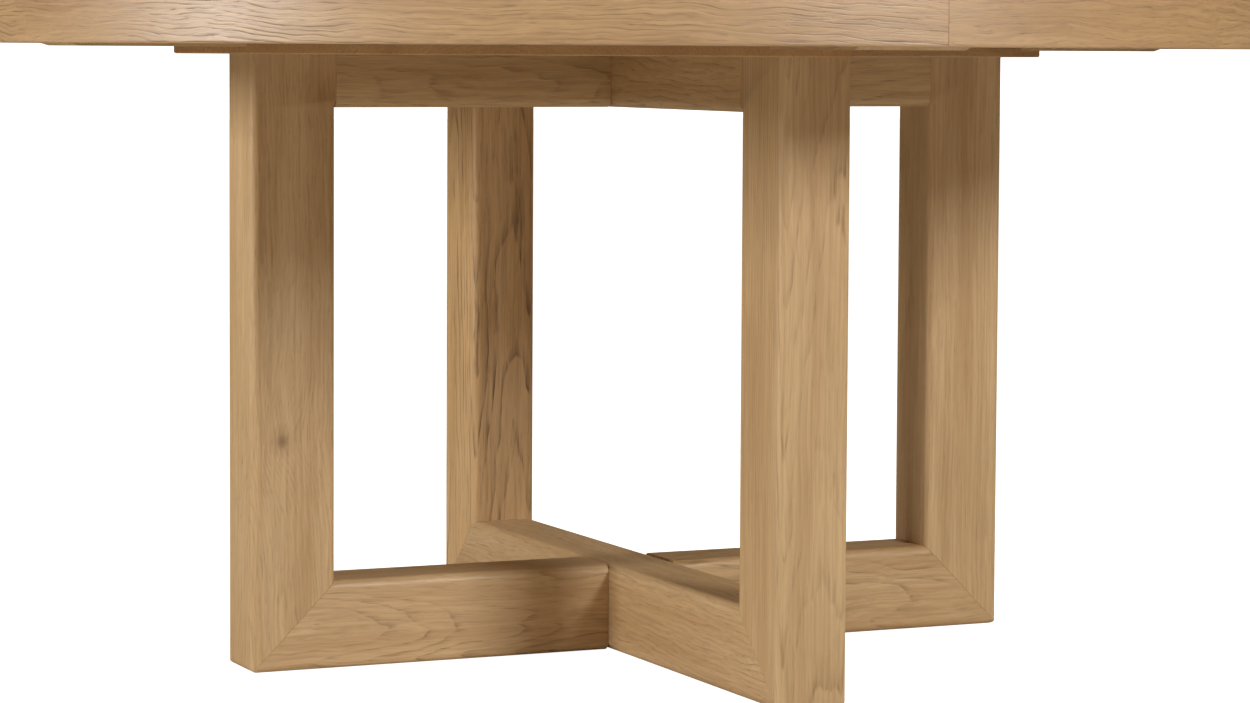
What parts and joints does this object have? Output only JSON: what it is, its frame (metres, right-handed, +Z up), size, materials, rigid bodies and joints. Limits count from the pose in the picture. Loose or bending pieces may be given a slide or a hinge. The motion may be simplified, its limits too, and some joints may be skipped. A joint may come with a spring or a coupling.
{
  "type": "round pedestal table",
  "caption": "Round oak dining table: a boarded top in a thick segmented rim, on a pedestal of crossed rectangular frames with mitred feet and recessed levellers.",
  "frame": {"origin": "on the floor, under the centre of the round top", "axes": "+Z up; X runs along frame A, whose bottom rail is in two halves; Y runs along frame B, whose bottom rail runs through, with post_b_front at -Y"},
  "size_m": [1.524, 1.524, 0.762],
  "materials": {
    "top_oak": "satin oiled oak",
    "rim_oak": "satin oiled oak",
    "post_oak": "satin oiled oak",
    "foot_oak": "satin oiled oak",
    "head_oak": "satin oiled oak",
    "batten_oak": "planed oak",
    "board_ply": "oak-faced board, oiled",
    "dowel_beech": "planed beech",
    "spline_ply": "birch plywood",
    "zinc_steel": "zinc plated steel",
    "stem_steel": "zinc plated threaded steel",
    "pad_nylon": "moulded nylon"
  },
  "bodies": {
    "table": {"top_board_1": "top_oak", "top_board_2": "top_oak", "top_board_3": "top_oak", "top_board_4": "top_oak", "top_board_5": "top_oak", "top_board_6": "top_oak", "top_board_7": "top_oak", "top_board_8": "top_oak", "top_board_9": "top_oak", "rim_segment_1": "rim_oak", "rim_segment_2": "rim_oak", "rim_segment_3": "rim_oak", "rim_segment_4": "rim_oak", "post_a_left": "post_oak", "post_a_right": "post_oak", "post_b_front": "post_oak", "post_b_back": "post_oak", "foot_a_left": "foot_oak", "foot_a_right": "foot_oak", "foot_b": "foot_oak", "head_a_left": "head_oak", "head_a_right": "head_oak", "head_b": "head_oak", "batten_a": "batten_oak", "batten_b": "batten_oak", "mounting_board": "board_ply", "mitre_dowels": "dowel_beech", "head_dowels": "dowel_beech", "cross_dowels": "dowel_beech", "rim_splines": "spline_ply", "board_screws": "zinc_steel", "batten_inserts": "zinc_steel", "batten_bolts": "zinc_steel", "frame_screws": "zinc_steel", "tie_rod_lower": "zinc_steel", "tie_rod_upper": "zinc_steel", "tie_washers": "zinc_steel", "tie_nuts": "zinc_steel", "leveller_inserts": "zinc_steel"},
    "pad_1": {"leveller_pad_1": "pad_nylon"},
    "stem_1": {"leveller_stem_1": "stem_steel"},
    "pad_2": {"leveller_pad_2": "pad_nylon"},
    "stem_2": {"leveller_stem_2": "stem_steel"},
    "pad_3": {"leveller_pad_3": "pad_nylon"},
    "stem_3": {"leveller_stem_3": "stem_steel"},
    "pad_4": {"leveller_pad_4": "pad_nylon"},
    "stem_4": {"leveller_stem_4": "stem_steel"}
  },
  "joints": [
    {"name": "pad_1_slide", "type": "slide", "parent": "table", "child": "pad_1", "axis": [0, 0, -1], "range_m": [0, 0.01]},
    {"name": "stem_1_turn", "type": "hinge", "parent": "pad_1", "child": "stem_1", "pos_m": [0.4105, 0, 0.03], "axis": [0, 0, -1], "range_deg": [0, 2400]},
    {"name": "pad_2_slide", "type": "slide", "parent": "table", "child": "pad_2", "axis": [0, 0, -1], "range_m": [0, 0.01]},
    {"name": "stem_2_turn", "type": "hinge", "parent": "pad_2", "child": "stem_2", "pos_m": [0, 0.4105, 0.03], "axis": [0, 0, -1], "range_deg": [0, 2400]},
    {"name": "pad_3_slide", "type": "slide", "parent": "table", "child": "pad_3", "axis": [0, 0, -1], "range_m": [0, 0.01]},
    {"name": "stem_3_turn", "type": "hinge", "parent": "pad_3", "child": "stem_3", "pos_m": [-0.4105, 0, 0.03], "axis": [0, 0, -1], "range_deg": [0, 2400]},
    {"name": "pad_4_slide", "type": "slide", "parent": "table", "child": "pad_4", "axis": [0, 0, -1], "range_m": [0, 0.01]},
    {"name": "stem_4_turn", "type": "hinge", "parent": "pad_4", "child": "stem_4", "pos_m": [0, -0.4105, 0.03], "axis": [0, 0, -1], "range_deg": [0, 2400]}
  ],
  "couplings": [
    {"joint": "stem_1_turn", "follows": "pad_1_slide", "rad_per_m": 4188.8},
    {"joint": "stem_2_turn", "follows": "pad_2_slide", "rad_per_m": 4188.8},
    {"joint": "stem_3_turn", "follows": "pad_3_slide", "rad_per_m": 4188.8},
    {"joint": "stem_4_turn", "follows": "pad_4_slide", "rad_per_m": 4188.8}
  ]
}
